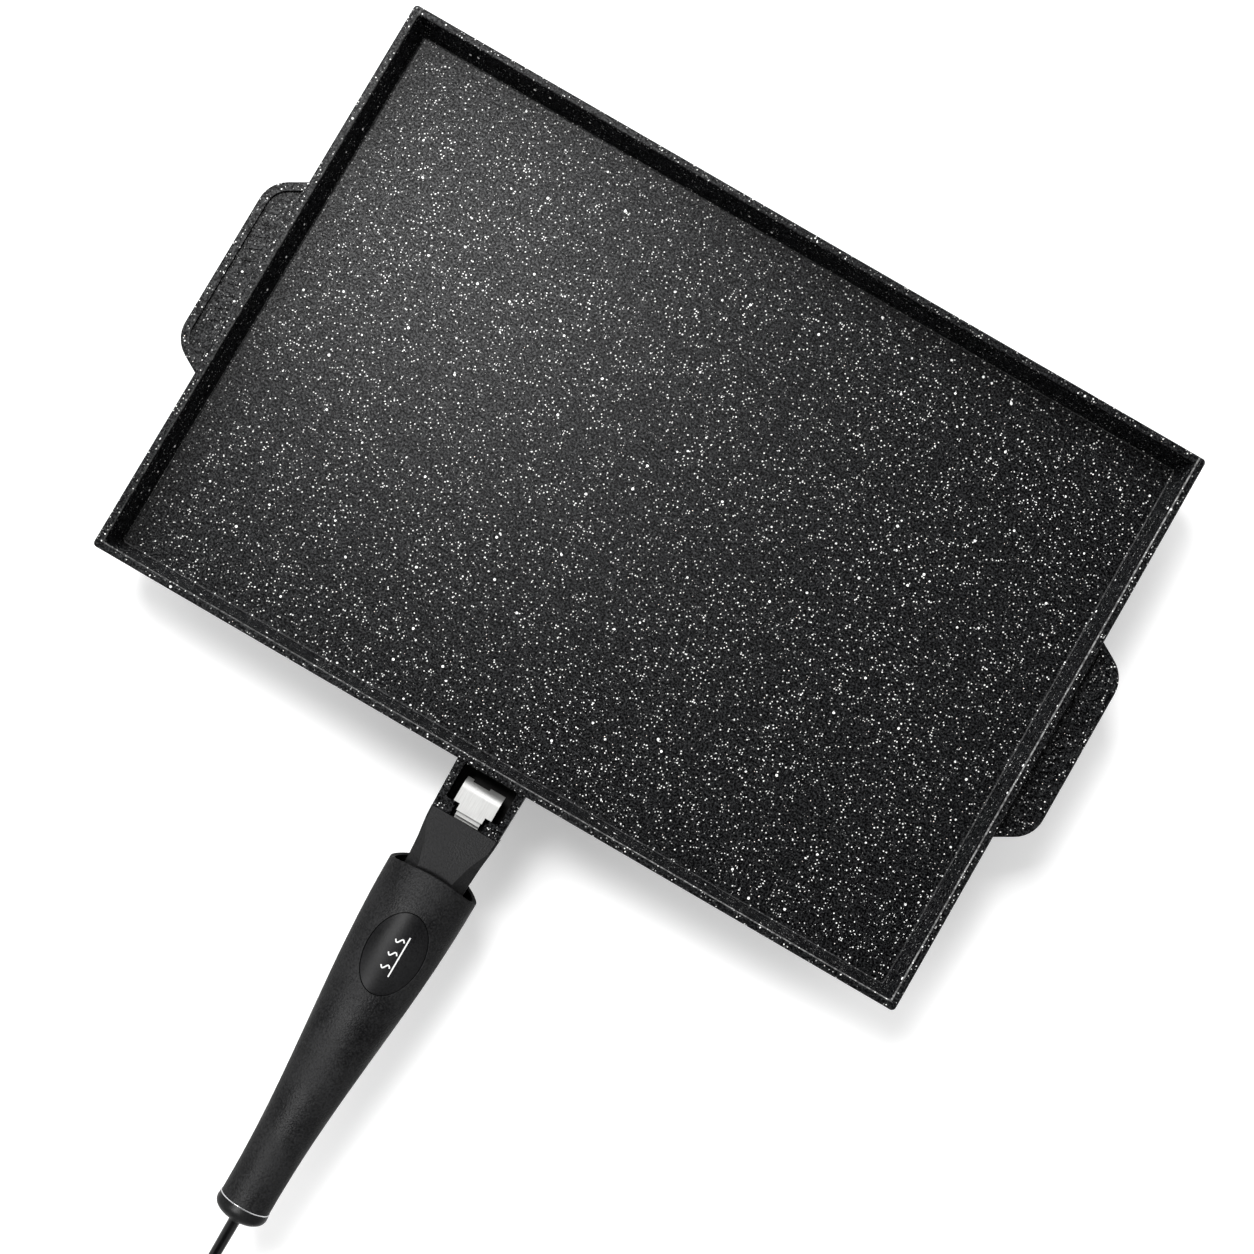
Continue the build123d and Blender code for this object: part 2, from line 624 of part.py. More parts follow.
# ---- Grip sleeve and push button ----------------------------------------------------------------
with BuildPart() as grip_sleeve:
    add(grip_core(0, start_y=-181.0))
    add(grip_core(grip_wall, start_y=-180.0, stop_y=sleeve_end_y - 1.0), mode=Mode.SUBTRACT)
    # Mouth: the lower lip reaches further forward than the upper, and the sides are cut back
    with BuildSketch(Plane.YZ):
        with BuildLine():
            ThreePointArc((-188.7, grip_axis_z + 20), (-193.7, grip_axis_z), (-182.7, grip_axis_z - 20))
            Polyline((-182.7, grip_axis_z - 20), (-170, grip_axis_z - 20), (-170, grip_axis_z + 20),
                     (-188.7, grip_axis_z + 20))
        make_face()
    extrude(amount=40, both=True, mode=Mode.SUBTRACT)
    fillet(grip_sleeve.edges().group_by(Axis.Y)[-1], edge_round)
    # Hole for the button
    with BuildSketch(Plane.XY.offset(grip_axis_z + 3)):
        with Locations((button_x, button_y)):
            Ellipse(button_half_wide + button_gap, button_half_long + button_gap)
    extrude(amount=20, mode=Mode.SUBTRACT)
    upper_edges = grip_sleeve.edges().filter_by(lambda edge: edge.center().Z > grip_axis_z + 14.5)
    fillet(upper_edges.sort_by(SortBy.LENGTH)[-1], edge_round / 2)
grip_sleeve.part.label = "grip_sleeve"

with BuildPart() as button_flange:
    with BuildSketch(Plane.XY.offset(grip_axis_z + 3)):
        with Locations((button_x, button_y)):
            Ellipse(button_half_wide + 1.2, button_half_long + 1.2)
    extrude(amount=20)
    add(grip_core(grip_wall + 0.3), mode=Mode.INTERSECT)
    add(grip_core(grip_wall + 1.5), mode=Mode.SUBTRACT)

with BuildPart() as power_button:
    with BuildSketch(Plane.XY.offset(grip_axis_z + 3)):
        with Locations((button_x, button_y)):
            Ellipse(button_half_wide, button_half_long)
    extrude(amount=20)
    add(grip_core(0.3), mode=Mode.INTERSECT)
    add(grip_core(grip_wall + 1.5), mode=Mode.SUBTRACT)
    add(button_flange.part)
    # Stem down to just above the switch, when pressed
    with Locations((button_x, button_y, switch_top_z + button_travel + 0.15)):
        Cylinder(2.0, 4.6, align=lowest)
power_button.part.label = "power_button"

with BuildPart() as button_spring:
    with BuildLine() as button_spring_path:
        Helix(2.1, 6.4, 4.9, center=(button_x, button_y, grip_axis_z + 4.1))
    with BuildSketch(Plane(origin=button_spring_path.line @ 0, z_dir=button_spring_path.line % 0)):
        Circle(0.3)
    sweep(is_frenet=True)
button_spring.part.label = "button_spring"

# ---- Electrics in the handle --------------------------------------------------------------------
with BuildPart() as control_board:
    add(block((-8, 8), (-258, -218.5), (board_z, board_top_z)))
control_board.part.label = "control_board"

with BuildPart() as tact_switch:
    add(block((button_x - 3, button_x + 3), (button_y - 3, button_y + 3),
              (board_top_z, board_top_z + switch_height)))
    with Locations((button_x, button_y, board_top_z + switch_height)):
        Cylinder(1.4, plunger_height, align=lowest)
tact_switch.part.label = "tact_switch"

with BuildPart() as board_parts:
    add(block((-7, 3), (-250, -240), (board_top_z, board_top_z + 5)))
    with Locations((5.5, -244, board_top_z)):
        Cylinder(2.2, 5.2, align=lowest)
    with BuildSketch(Plane.YZ.offset(-4.5)):
        with Locations((-220.6, board_top_z + 1.5)):
            Circle(1.4)
    extrude(amount=9)
board_parts.part.label = "board_parts"

with BuildPart() as supply_wires:
    for side in (-1, 1):
        add(wire([(side * 1.4, -337.6, grip_axis_z), (side * 1.8, -326, grip_axis_z + 0.2),
                  (side * 4, -292, grip_axis_z + 3.6), (side * 4, -268, grip_axis_z + 6.4),
                  (side * 4, -259.6, grip_axis_z + 6.2), (side * 4, -254.6, grip_axis_z + 4.8)], 3, 1.05))
supply_wires.part.label = "supply_wires"

with BuildPart() as cord_clamp:
    add(block((-7.9, 7.9), (-344, -338), (grip_axis_z + 3.65, grip_axis_z + 5.8)))
    add(block((-3.0, 3.0), (-344, -338.4), (grip_axis_z + 3.05, grip_axis_z + 3.7)))
    with Locations(*[(x, y, grip_axis_z + 5.8) for x, y in cord_clamp_places]):
        Cylinder(1.6, 1.3, align=highest, mode=Mode.SUBTRACT)
        Cylinder(1.05, 4, align=highest, mode=Mode.SUBTRACT)
cord_clamp.part.label = "cord_clamp"

with BuildPart() as clamp_bar_screws:
    with Locations(*[(x, y, grip_axis_z + 5.7) for x, y in cord_clamp_places]):
        Cylinder(1.5, 1.1, align=highest)
        Cylinder(0.9, 6.6, align=highest)
        Box(2.2, 0.5, 0.5, align=highest, mode=Mode.SUBTRACT)
clamp_bar_screws.part.label = "clamp_bar_screws"

# ---- End of the handle --------------------------------------------------------------------------
handle_axis = Axis((0, 0, grip_axis_z), (0, 1, 0))
end_plane = Plane(origin=(0, 0, grip_axis_z), x_dir=(1, 0, 0), z_dir=(0, 0, 1))
ring_back_y = sleeve_end_y - ring_thickness
with BuildPart() as trim_ring:
    with BuildSketch(end_plane):
        with BuildLine():
            Polyline((12.0, ring_back_y), (9.0, ring_back_y), (9.0, sleeve_end_y), (12.0, sleeve_end_y))
            ThreePointArc((12.0, sleeve_end_y), (12.3, (sleeve_end_y + ring_back_y) / 2), (12.0, ring_back_y))
        make_face()
    revolve(axis=handle_axis)
trim_ring.part.label = "trim_ring"

with BuildPart() as end_cap:
    with BuildSketch(end_plane):
        with BuildLine():
            Polyline((3.1, cap_end_y), (3.1, cap_end_y + 2.4), (6.8, cap_end_y + 3.4),
                     (6.8, ring_back_y + cap_spigot), (8.9, ring_back_y + cap_spigot), (8.9, ring_back_y),
                     (12.2, ring_back_y), (12.35, ring_back_y - 1.6))
            Spline((12.35, ring_back_y - 1.6), (11.4, ring_back_y - 4.9), (8.2, ring_back_y - 7.0),
                   (3.1, cap_end_y), tangents=[(0.1, -1), (-1, -0.1)])
        make_face()
    revolve(axis=handle_axis)
end_cap.part.label = "end_cap"

with BuildPart() as strain_relief:
    with BuildSketch(end_plane):
        with BuildLine():
            Polyline((0, -338), (3.0, -338), (3.0, relief_flange_y), (4.15, relief_flange_y),
                     (4.15, relief_flange_y - 1.8), (3.0, relief_flange_y - 1.8), (3.0, cap_end_y - 0.9),
                     (2.72, cap_end_y - 1.3), (2.55, relief_end_y + 0.4), (2.45, relief_end_y),
                     (0, relief_end_y), close=True)
        make_face()
    revolve(axis=handle_axis)
strain_relief.part.label = "strain_relief"

# ---- Mains cord ---------------------------------------------------------------------------------
cord_radius = cord_diameter / 2
coil_low_z = 0.9
outer_turn = coil_mean_radius + cord_diameter
cord_route = [
    (0, relief_end_y, grip_axis_z),
    (0, -407, grip_axis_z),
    (1, -430, 28),
    (4, -451, 13.5),
    (13, -468, 3.6),
    (35, -480, 2.5),
    (63, -474, 2.6),
    (coil_x, coil_y - outer_turn, coil_low_z + cord_radius),
]
tail_route = [
    (coil_x, coil_y - outer_turn, coil_low_z + 3 * cord_radius),
    (110, -471.4, 9.6),
    (127, -476.4, 12.2),
    (143, -481.2, 12.2),
]


def easy_radii(points):
    """Largest arc that each corner's two runs leave room for."""
    radii = []
    for before, corner, after in zip(points, points[1:], points[2:]):
        first, second = Vector(*corner) - Vector(*before), Vector(*after) - Vector(*corner)
        turn = radians(first.get_angle(second))
        radii.append(0.45 * min(first.length, second.length) / tan(turn / 2))
    return radii


with BuildPart() as mains_cord:
    for points in (cord_route, tail_route):
        radii = easy_radii(points)
        with BuildLine() as cord_path:
            FilletPolyline(*points, radius=radii)
        with BuildSketch(Plane(origin=cord_path.line @ 0, z_dir=cord_path.line % 0)):
            Circle(cord_radius)
        sweep()
        run_length = sum(edge.length for edge in cord_path.edges())
        print("cord bend radii", [round(r) for r in radii], "length", round(run_length, 1))
mains_cord.part.label = "mains_cord"
print("cord volume", round(mains_cord.part.volume, 1))

with BuildPart() as cord_coil:
    half_width = turns_wide * cord_diameter / 2
    with BuildSketch(Plane.XZ.offset(-coil_y)):
        with Locations((coil_x + coil_mean_radius, coil_low_z + turns_high * cord_radius)):
            RectangleRounded(2 * half_width, turns_high * cord_diameter, cord_radius * 0.98)
    revolve(axis=Axis((coil_x, coil_y, 0), (0, 0, 1)))
cord_coil.part.label = "cord_coil"
coil_length = turns_wide * turns_high * 2 * pi * coil_mean_radius
print("coil length", round(coil_length), "outside radius", round(coil_mean_radius + half_width, 1))

with BuildPart() as cord_tie:
    tie_x = coil_x + coil_mean_radius
    with BuildSketch(Plane.XZ.offset(-coil_y - 3)):
        with Locations((tie_x, coil_low_z + turns_high * cord_radius)):
            RectangleRounded(2 * half_width + 2.2, turns_high * cord_diameter + 1.7, cord_radius)
            RectangleRounded(2 * half_width + 0.6, turns_high * cord_diameter + 0.1, cord_radius * 0.9,
                             mode=Mode.SUBTRACT)
    extrude(amount=6)
cord_tie.part.label = "cord_tie"

plug_entry = Vector(*tail_route[-1])
plug_way = Vector(1, -0.3, 0).normalized()
plug_pin_radius, plug_pin_length, plug_pin_half_gap = 2.4, 19.0, 9.5


def plug_plane(distance):
    """Plane across the plug: local x is level, and its normal points out through the pins."""
    across = Vector(0, 0, 1).cross(plug_way)
    return Plane(origin=plug_entry + plug_way * distance, x_dir=across, z_dir=plug_way)


plug_face = 46.0
with BuildPart() as plug_body:
    for distance, half_wide, half_thick in ((10, 6.2, 5.6), (19, 13.5, 9.6), (30, 17.6, 11.8),
                                            (plug_face, 18.2, 12.0)):
        with BuildSketch(plug_plane(distance)):
            RectangleRounded(2 * half_wide, 2 * half_thick, half_thick * 0.96)
    loft()
    fillet(plug_body.faces().sort_by(Axis.X)[-1].edges(), 1.5)
    with BuildSketch(plug_plane(0)):
        Circle(cord_radius + 0.6)
    with BuildSketch(plug_plane(12)):
        Circle(4.6)
    loft()
plug_body.part.label = "plug_body"

with BuildPart() as plug_pins:
    for side in (-1, 1):
        with BuildSketch(plug_plane(plug_face)):
            with Locations((side * plug_pin_half_gap, 0)):
                Circle(plug_pin_radius)
        extrude(amount=plug_pin_length)
    fillet(plug_pins.edges().filter_by(GeomType.CIRCLE).sort_by_distance(plug_entry)[-2:], 1.6)
plug_pins.part.label = "plug_pins"

# ---- Write every piece --------------------------------------------------------------------------
pieces = [
    griddle_pan, heating_element, end_seals, clamp_plate, clamp_screws, thermal_cutout, base_cover, *feet,
    foot_screws, base_screws, terminal_block, *contact_pins, terminal_hood, hood_screws, supply_lead,
    link_lead, return_lead, handle_chassis, latch_hook, hook_rivets, contact_block, contact_sleeves,
    output_wires, guide_rods, *collar_springs, lock_collar, grip_sleeve, power_button, button_spring,
    control_board, tact_switch, board_parts, supply_wires, cord_clamp, clamp_bar_screws, trim_ring,
    end_cap, strain_relief, mains_cord, cord_coil, cord_tie, plug_body, plug_pins,
]
os.makedirs("parts", exist_ok=True)
for piece in pieces:
    export_step(piece.part, f"parts/{piece.part.label}.step")
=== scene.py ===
import math

import bpy
import bmesh
from mathutils import Euler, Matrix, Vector
from mathutils.bvhtree import BVHTree


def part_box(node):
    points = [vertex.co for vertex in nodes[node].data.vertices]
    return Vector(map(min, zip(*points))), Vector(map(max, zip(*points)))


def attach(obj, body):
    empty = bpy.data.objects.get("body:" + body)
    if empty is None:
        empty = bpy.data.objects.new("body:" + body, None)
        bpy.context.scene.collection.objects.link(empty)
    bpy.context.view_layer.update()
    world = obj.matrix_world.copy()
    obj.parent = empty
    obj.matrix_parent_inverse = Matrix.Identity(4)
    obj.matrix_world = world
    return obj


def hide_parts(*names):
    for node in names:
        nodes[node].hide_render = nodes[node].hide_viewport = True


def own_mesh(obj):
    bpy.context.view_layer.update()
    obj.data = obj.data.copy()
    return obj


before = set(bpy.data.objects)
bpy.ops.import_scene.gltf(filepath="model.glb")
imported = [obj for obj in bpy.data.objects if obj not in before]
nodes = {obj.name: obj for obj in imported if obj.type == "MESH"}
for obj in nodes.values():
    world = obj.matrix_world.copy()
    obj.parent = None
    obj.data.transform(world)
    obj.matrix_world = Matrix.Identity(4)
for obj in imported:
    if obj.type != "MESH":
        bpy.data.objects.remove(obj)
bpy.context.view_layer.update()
scene = bpy.context.scene


# ---- Camera --------------------------------------------------------------------------------------
camera_data = bpy.data.cameras.new("camera")
camera_data.sensor_width = 36.0
camera_data.lens = 57.53
camera_data.clip_start = 0.02
camera_data.clip_end = 20.0
camera = bpy.data.objects.new("camera", camera_data)
scene.collection.objects.link(camera)
camera.location = (0.02935, -0.09715, 0.9373)
camera.rotation_euler = Euler([math.radians(a) for a in (2.79, -0.79, 30.17)])
scene.camera = camera


# ---- Node helpers --------------------------------------------------------------------------------
def node(tree, kind, inputs=None, **props):
    """One shader node; an input is a value or another node's output socket."""
    made = tree.nodes.new("ShaderNode" + kind)
    for key, value in props.items():
        setattr(made, key, value)
    for key, value in (inputs or {}).items():
        socket = made.inputs[key]
        if isinstance(value, bpy.types.NodeSocket):
            tree.links.new(value, socket)
        else:
            socket.default_value = value
    return made


def math_node(tree, operation, a, b=0.0):
    return node(tree, "Math", {0: a, 1: b}, operation=operation).outputs[0]


def product(tree, first, *others):
    """All the values multiplied together."""
    for other in others:
        first = math_node(tree, "MULTIPLY", first, other)
    return first


def ramp(tree, value, low, high, to_low=0.0, to_high=1.0):
    """Smooth step of value from low..high to to_low..to_high."""
    made = node(tree, "MapRange", {"Value": value, "From Min": low, "From Max": high,
                                   "To Min": to_low, "To Max": to_high}, interpolation_type="SMOOTHSTEP")
    return made.outputs["Result"]


def mix_colour(tree, share, first, second):
    """Share of the second colour over the first; a colour is a socket or its red, green and blue."""
    first, second = (colour if isinstance(colour, bpy.types.NodeSocket) else (*colour, 1.0)
                     for colour in (first, second))
    return node(tree, "Mix", {0: share, 6: first, 7: second}, data_type="RGBA").outputs[2]


def noise(tree, vector, scale, detail=3.0, rough=0.5, distortion=0.0):
    made = node(tree, "TexNoise", {"Vector": vector, "Scale": scale, "Detail": detail,
                                   "Roughness": rough, "Distortion": distortion})
    return made.outputs[0]


def start(name, metallic=0.0, specular=0.5, roughness=0.5):
    """A material with its tree, shader and object coordinates in metres."""
    made = bpy.data.materials.new(name)
    made.use_nodes = True
    tree = made.node_tree
    shader = tree.nodes["Principled BSDF"]
    shader.inputs["Metallic"].default_value = metallic
    shader.inputs["Specular IOR Level"].default_value = specular
    shader.inputs["Roughness"].default_value = roughness
    place = tree.nodes.new("ShaderNodeTexCoord").outputs["Object"]
    return made, tree, shader, place


def bump(tree, shader, height, distance):
    made = node(tree, "Bump", {"Height": height, "Distance": distance, "Strength": 1.0})
    tree.links.new(made.outputs[0], shader.inputs["Normal"])


def textured(name, dark, light, grain, roughness, bump_depth, rough_spread=0.08, specular=0.5, metallic=0.0):
    """A moulded, painted or cast surface: fine grain, broad tone changes, uneven gloss."""
    made, tree, shader, place = start(name, metallic, specular)
    patches_per_metre, fine_share = 40.0, 0.6
    fine = noise(tree, place, grain, 2.0, 0.6)
    broad = noise(tree, place, patches_per_metre, 3.0, 0.55)
    tone = math_node(tree, "ADD", product(tree, fine, fine_share), product(tree, broad, 1.0 - fine_share))
    colour = mix_colour(tree, ramp(tree, tone, 0.32, 0.68), dark, light)
    tree.links.new(colour, shader.inputs["Base Color"])
    tree.links.new(ramp(tree, broad, 0.3, 0.7, roughness - rough_spread, roughness + rough_spread),
                   shader.inputs["Roughness"])
    bump(tree, shader, fine, bump_depth)
    return made


def brushed(name, dark, light, along, roughness, depth=0.00002, metallic=1.0):
    """Metal with fine lines along one axis."""
    made, tree, shader, place = start(name, metallic)
    lines_per_metre, line_length, clouds_per_metre = 2600.0, 18.0, 90.0
    stretch = [1.0 if axis == along else line_length for axis in "xyz"]
    stretched = node(tree, "Mapping", {"Vector": place, "Scale": stretch}).outputs[0]
    streaks = noise(tree, stretched, lines_per_metre / line_length, 3.0, 0.6)
    cloud = noise(tree, place, clouds_per_metre, 3.0, 0.6)
    colour = mix_colour(tree, ramp(tree, streaks, 0.3, 0.7), dark, light)
    tree.links.new(colour, shader.inputs["Base Color"])
    tree.links.new(ramp(tree, cloud, 0.3, 0.7, roughness - 0.07, roughness + 0.09),
                   shader.inputs["Roughness"])
    bump(tree, shader, streaks, depth)
    return made


def specks(tree, place, per_metre, size, share, shift, weakest=0.6):
    """Spots of mixed size: a share of the cells of a Voronoi field, each with its own radius and strength.

    The size is the largest radius as a share of a cell, and shift moves one field away from another.
    """
    smallest, soft_edge = 0.45, 0.2
    moved = node(tree, "Mapping", {"Vector": place, "Location": (shift, shift * 0.7, shift * 1.3)}).outputs[0]
    cells = node(tree, "TexVoronoi", {"Vector": moved, "Scale": per_metre, "Randomness": 1.0})
    split = node(tree, "SeparateColor", {"Color": cells.outputs["Color"]})
    chance, spread = split.outputs[0], split.outputs[1]
    radius = product(tree, ramp(tree, spread, 0.0, 1.0, smallest, 1.0), size)
    inside = math_node(tree, "SUBTRACT", radius, cells.outputs["Distance"])
    edge = ramp(tree, inside, 0.0, size * soft_edge)
    kept = math_node(tree, "LESS_THAN", chance, share)
    strength = ramp(tree, split.outputs[2], 0.0, 1.0, weakest, 1.0)
    return product(tree, edge, kept, strength)


def band(tree, value, low, high, soft):
    """1 where value lies between low and high, falling to 0 within soft on either side."""
    return product(tree, ramp(tree, value, low - soft, low), ramp(tree, value, high, high + soft, 1.0, 0.0))


def stone_coating(name):
    """Black non-stick coating with white specks, as on stone-look cookware, with painted highlights along its
    inner edges and painted shade on its walls.
    """
    made, tree, shader, place = start(name, specular=0.065)
    shader.inputs["Coat Roughness"].default_value = 0.42
    # Places bent a little by fine noise, which takes the roundness off the specks
    warp = noise(tree, place, 1500.0, 1.0)
    bend = product(tree, math_node(tree, "SUBTRACT", warp, 0.5), 0.0005)
    shift = node(tree, "CombineXYZ", {0: bend, 1: bend, 2: bend}).outputs[0]
    bent = node(tree, "VectorMath", {0: place, 1: shift}, operation="ADD").outputs[0]
    # Ground: near black, with fine grain and short curly lines in patches
    grain = noise(tree, place, 1000.0, 2.0, 0.6)
    curl = noise(tree, place, 520.0, 1.0, 0.5, 0.9)
    from_line = math_node(tree, "ABSOLUTE", math_node(tree, "SUBTRACT", curl, 0.5))
    curl_patches = ramp(tree, noise(tree, place, 170.0, 2.0), 0.40, 0.60, 0.15, 1.0)
    curls = product(tree, ramp(tree, from_line, 0.0, 0.03, 1.0, 0.0), curl_patches)
    grains = ramp(tree, grain, 0.44, 0.62)
    fine = math_node(tree, "ADD", product(tree, grains, 0.5), product(tree, curls, 0.5))
    ground = mix_colour(tree, fine, (0.0001, 0.0001, 0.0002), (0.0120, 0.0126, 0.0134))
    # Upright faces are smoother than level ones, and their small specks are dimmed there as painted shade on
    # the walls
    facing = node(tree, "SeparateXYZ", {0: node(tree, "TexCoord").outputs["Normal"]}).outputs[2]
    level = ramp(tree, facing, 0.35, 0.85)
    faint = specks(tree, bent, 1350.0, 0.34, 0.6, 0.31)
    small = specks(tree, bent, 880.0, 0.34, 0.46, 0.0, 0.32)
    small = product(tree, small, ramp(tree, level, 0.0, 1.0, 0.22, 1.0))
    large = specks(tree, bent, 240.0, 0.17, 0.26, 0.77)
    colour = mix_colour(tree, product(tree, faint, 0.05), ground, (0.6, 0.6, 0.6))
    colour = mix_colour(tree, small, colour, (0.56, 0.56, 0.55))
    colour = mix_colour(tree, large, colour, (0.62, 0.62, 0.61))
    # Painted highlight: a thin light line where the wall meets the rim, on all sides but the back, stronger
    # towards the right
    line_half, line_fade = 0.00025, 0.0003
    across, along, height = node(tree, "SeparateXYZ", {0: place}).outputs
    from_side = math_node(tree, "SUBTRACT", math_node(tree, "ABSOLUTE", across), inner_rim[0])
    from_front = math_node(tree, "SUBTRACT", product(tree, along, -1.0), inner_rim[1])
    from_back = math_node(tree, "SUBTRACT", along, inner_rim[1])
    beyond = math_node(tree, "MAXIMUM", from_side, from_front)
    rim_line = product(tree, band(tree, beyond, -line_half, line_half, line_fade),
                       ramp(tree, height, rim_height - 0.0010, rim_height - 0.0004))
    rim_highlight = product(tree, rim_line, ramp(tree, across, -0.2, 0.2, 0.05, 0.14))
    # Painted highlight: a fainter light line just above the floor, inside the walls
    inside = math_node(tree, "LESS_THAN", math_node(tree, "MAXIMUM", beyond, from_back), -0.001)
    at_floor = band(tree, height, floor_height + 0.00015, floor_height + 0.0005, 0.0001)
    floor_line = product(tree, at_floor, inside)
    painted_highlight = math_node(tree, "ADD", rim_highlight, product(tree, floor_line, 0.025))
    # The painted highlights are broken into patches by noise and laid into the colour
    highlight_patches = ramp(tree, noise(tree, place, 420.0, 3.0, 0.75), 0.42, 0.60, 0.25, 1.0)
    colour = mix_colour(tree, product(tree, painted_highlight, highlight_patches), colour, (0.82, 0.82, 0.81))
    tree.links.new(colour, shader.inputs["Base Color"])
    # The grain is rougher than the ground, and its clear top layer thicker, so it catches more of the sheen
    level_grain = product(tree, fine, level)
    plain_roughness = ramp(tree, level, 0.0, 1.0, 0.14, 0.32)
    tree.links.new(math_node(tree, "ADD", plain_roughness, product(tree, level_grain, 0.22)),
                   shader.inputs["Roughness"])
    tree.links.new(product(tree, level_grain, 0.75), shader.inputs["Coat Weight"])
    peel = noise(tree, place, 900.0, 3.0, 0.65, 0.8)
    relief = math_node(tree, "ADD", product(tree, peel, 0.8), product(tree, small, 0.2))
    bump(tree, shader, relief, 0.00022)
    return made


def woven(name, light, dark, per_metre):
    """Braided glass-fibre sleeve."""
    made, tree, shader, place = start(name, roughness=0.75)
    bands = [node(tree, "TexWave", {"Vector": place, "Scale": per_metre, "Distortion": 1.5, "Detail": 1.0},
                  bands_direction=way).outputs[1] for way in ("DIAGONAL", "Y")]
    weave = product(tree, *bands)
    tree.links.new(mix_colour(tree, ramp(tree, weave, 0.1, 0.7), dark, light), shader.inputs["Base Color"])
    bump(tree, shader, weave, 0.00015)
    return made


# ---- Materials -----------------------------------------------------------------------------------
pan_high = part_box("griddle_pan")[1]
rim_height = pan_high[2]
pan_depth = 0.015
floor_height = rim_height - pan_depth
rim_land = 0.0036
lug_reach = 0.016
inner_rim = (pan_high[0] - lug_reach - rim_land, pan_high[1] - rim_land)
stone = stone_coating("stone_coating")
grip_black = textured("grip_black", (0.0004, 0.0004, 0.0005), (0.0066, 0.0066, 0.0068), 1100.0, 0.50, 0.00030,
                      rough_spread=0.10, specular=0.05)
collar_black = textured("collar_black", (0.0008, 0.0008, 0.0009), (0.0060, 0.0060, 0.0062), 1300.0, 0.50,
                        0.00020, specular=0.045)
button_black = textured("button_black", (0.0015, 0.0015, 0.0016), (0.005, 0.005, 0.0052), 1500.0, 0.34,
                        0.00002, rough_spread=0.05, specular=0.018)
cap_black = textured("cap_black", (0.001, 0.001, 0.0011), (0.004, 0.004, 0.0042), 1300.0, 0.36, 0.00006,
                     specular=0.05)
relief_black = textured("relief_black", (0.002, 0.002, 0.0021), (0.005, 0.005, 0.0052), 1400.0, 0.22, 0.00002,
                        specular=0.22)
frame_black = textured("frame_black", (0.012, 0.012, 0.012), (0.028, 0.028, 0.029), 1800.0, 0.55, 0.0001)
base_black = textured("base_black", (0.014, 0.014, 0.014), (0.034, 0.034, 0.034), 1300.0, 0.55, 0.0002)
rubber_black = textured("rubber_black", (0.013, 0.013, 0.013), (0.026, 0.026, 0.026), 900.0, 0.7, 0.0001)
phenolic = textured("phenolic", (0.006, 0.0055, 0.005), (0.014, 0.013, 0.012), 1500.0, 0.55, 0.00006,
                    specular=0.3)
ceramic = textured("ceramic", (0.62, 0.58, 0.5), (0.8, 0.77, 0.7), 900.0, 0.6, 0.00008)
plug_black = textured("plug_black", (0.012, 0.012, 0.0125), (0.022, 0.022, 0.023), 1500.0, 0.36, 0.00003)
part_black = textured("component_black", (0.02, 0.02, 0.022), (0.06, 0.06, 0.065), 700.0, 0.45, 0.00002)
sheath = textured("element_sheath", (0.10, 0.105, 0.095), (0.22, 0.22, 0.2), 700.0, 0.5, 0.00005,
                  metallic=0.7)
paper = textured("tie_paper", (0.62, 0.6, 0.54), (0.8, 0.78, 0.72), 1400.0, 0.8, 0.00006)
board_green = textured("board_green", (0.01, 0.06, 0.025), (0.02, 0.11, 0.05), 260.0, 0.35, 0.00001)
steel = brushed("hook_steel", (0.56, 0.56, 0.55), (0.63, 0.63, 0.62), "y", 0.56, depth=0.00001, metallic=0.8)
plate_steel = brushed("plate_steel", (0.5, 0.5, 0.49), (0.68, 0.68, 0.66), "x", 0.38)
zinc = brushed("zinc", (0.52, 0.52, 0.5), (0.74, 0.74, 0.72), "z", 0.3)
nickel = brushed("nickel", (0.7, 0.66, 0.56), (0.84, 0.8, 0.7), "x", 0.22)
chrome = brushed("chrome", (0.42, 0.42, 0.43), (0.56, 0.56, 0.57), "x", 0.22, depth=0.000003)
braid = woven("braid", (0.84, 0.82, 0.76), (0.5, 0.48, 0.42), 260.0)

cord_black, cord_tree, cord_shader, cord_place = start("cord_black", specular=0.28)
cord_grain = noise(cord_tree, cord_place, 700.0, 3.0, 0.6)
cord_tree.links.new(mix_colour(cord_tree, ramp(cord_tree, cord_grain, 0.3, 0.7), (0.008, 0.008, 0.0085),
                               (0.016, 0.016, 0.017)), cord_shader.inputs["Base Color"])
cord_tree.links.new(ramp(cord_tree, cord_grain, 0.3, 0.7, 0.22, 0.34), cord_shader.inputs["Roughness"])
bump(cord_tree, cord_shader, cord_grain, 0.00003)

looks = {
    stone: ["griddle_pan"],
    sheath: ["heating_element"],
    ceramic: ["end_seals", "thermal_cutout"],
    plate_steel: ["clamp_plate"],
    zinc: ["clamp_screws", "foot_screws", "base_screws", "hood_screws", "clamp_bar_screws", "hook_rivets",
           "collar_spring_left", "collar_spring_right", "button_spring"],
    base_black: ["base_cover"],
    rubber_black: ["front_left_foot", "front_right_foot", "rear_left_foot", "rear_right_foot"],
    phenolic: ["terminal_block", "contact_block"],
    nickel: ["contact_pin_left", "contact_pin_right", "contact_sleeves", "plug_pins"],
    frame_black: ["terminal_hood", "cord_clamp", "handle_chassis"],
    braid: ["supply_lead", "link_lead", "return_lead", "output_wires", "supply_wires"],
    steel: ["latch_hook", "guide_rods"],
    collar_black: ["lock_collar"],
    grip_black: ["grip_sleeve"],
    button_black: ["power_button"],
    board_green: ["control_board"],
    part_black: ["tact_switch", "board_parts"],
    chrome: ["trim_ring"],
    cap_black: ["end_cap"],
    relief_black: ["strain_relief"],
    paper: ["cord_tie"],
    plug_black: ["plug_body"],
    cord_black: ["mains_cord", "cord_coil"],
}
for look, names in looks.items():
    for name in names:
        slots = nodes[name].data.materials
        slots.clear()
        slots.append(look)


